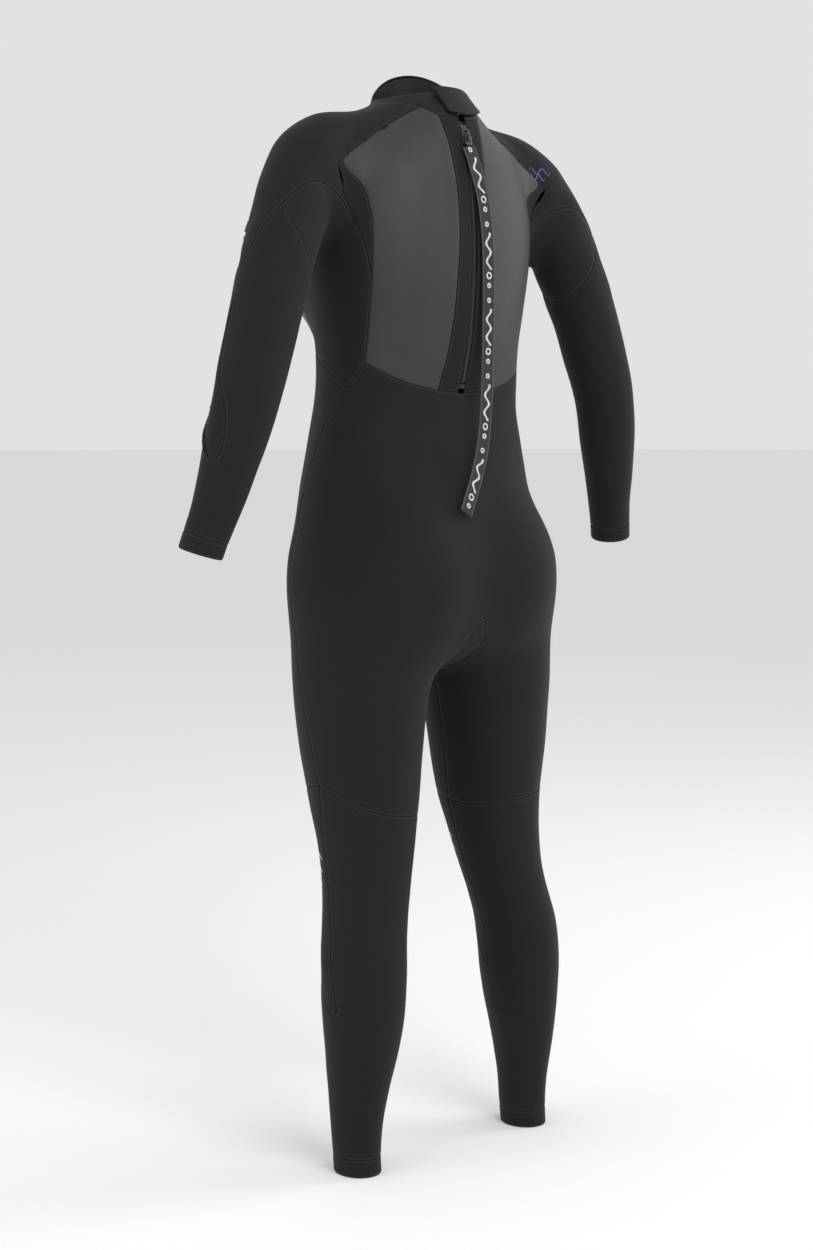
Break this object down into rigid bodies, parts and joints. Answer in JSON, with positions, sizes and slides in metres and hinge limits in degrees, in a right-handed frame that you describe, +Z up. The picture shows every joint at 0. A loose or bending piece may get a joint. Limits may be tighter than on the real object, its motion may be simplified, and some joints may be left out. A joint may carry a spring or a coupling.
{
  "type": "wetsuit",
  "caption": "Full wetsuit with a back zip: long sleeves and legs, panelled foam rubber sheets, a high collar closed by a tab, and a webbing pull leash on the zip.",
  "frame": {"origin": "on the floor, below the middle of the suit, level with the lower edges of its ankle hems", "axes": "+Z up the body, +X towards the wearer's left, -Y the way the wearer faces"},
  "size_m": [0.7392, 0.2734, 1.3658],
  "materials": {
    "jersey": "knitted nylon over foam rubber, matte",
    "smooth_skin": "smooth skin foam rubber with a soft sheen",
    "collar_rubber": "smooth foam rubber, matte",
    "knee_fabric": "dense abrasion-proof knit",
    "zip_tape": "woven polyester",
    "zip_plastic": "satin moulded plastic",
    "webbing": "woven webbing with a light repeated pattern",
    "hook_and_loop": "hook and loop pile"
  },
  "bodies": {
    "suit": {"zip_strip_left": "jersey", "zip_strip_right": "jersey", "shoulder_panel_left": "jersey", "shoulder_panel_right": "jersey", "underarm_panel_left": "jersey", "underarm_panel_right": "jersey", "sleeve_left": "jersey", "sleeve_right": "jersey", "cuff_left": "jersey", "cuff_right": "jersey", "seat_panel": "jersey", "front_panel": "jersey", "crotch_gusset": "jersey", "calf_panel_left": "jersey", "calf_panel_right": "jersey", "ankle_hem_left": "jersey", "ankle_hem_right": "jersey", "zip_flap": "jersey", "back_panel_left": "smooth_skin", "back_panel_right": "smooth_skin", "chest_panel": "smooth_skin", "collar_band": "collar_rubber", "tab_root": "collar_rubber", "elbow_panel_left": "knee_fabric", "elbow_panel_right": "knee_fabric", "knee_panel_left": "knee_fabric", "knee_panel_right": "knee_fabric", "zip_tape_left": "zip_tape", "zip_tape_right": "zip_tape", "zip_teeth_left": "zip_plastic", "zip_teeth_right": "zip_plastic", "top_stop_left": "zip_plastic", "top_stop_right": "zip_plastic", "bottom_stop": "zip_plastic", "loop_patch": "hook_and_loop"},
    "slider": {"zip_slider": "zip_plastic"},
    "pull": {"pull_tab": "zip_plastic", "leash": "webbing"},
    "tab": {"collar_tab": "collar_rubber", "hook_patch": "hook_and_loop"}
  },
  "joints": [
    {"name": "zip_travel", "type": "hinge", "parent": "suit", "child": "slider", "pos_m": [0, -0.4717, 1.126], "axis": [-1, 0, 0], "range_deg": [0, 29]},
    {"name": "pull_swing", "type": "hinge", "parent": "slider", "child": "pull", "pos_m": [0, 0.08674, 1.27157], "axis": [1, 0, 0], "range_deg": [0, 46]},
    {"name": "tab_open", "type": "hinge", "parent": "suit", "child": "tab", "pos_m": [0.0228, 0.0626, 1.3156], "axis": [-0.0939, 0.6426, -0.7604], "range_deg": [0, 100]}
  ],
  "couplings": [
    {"joint": "pull_swing", "follows": "zip_travel", "ratio": 1.55}
  ]
}
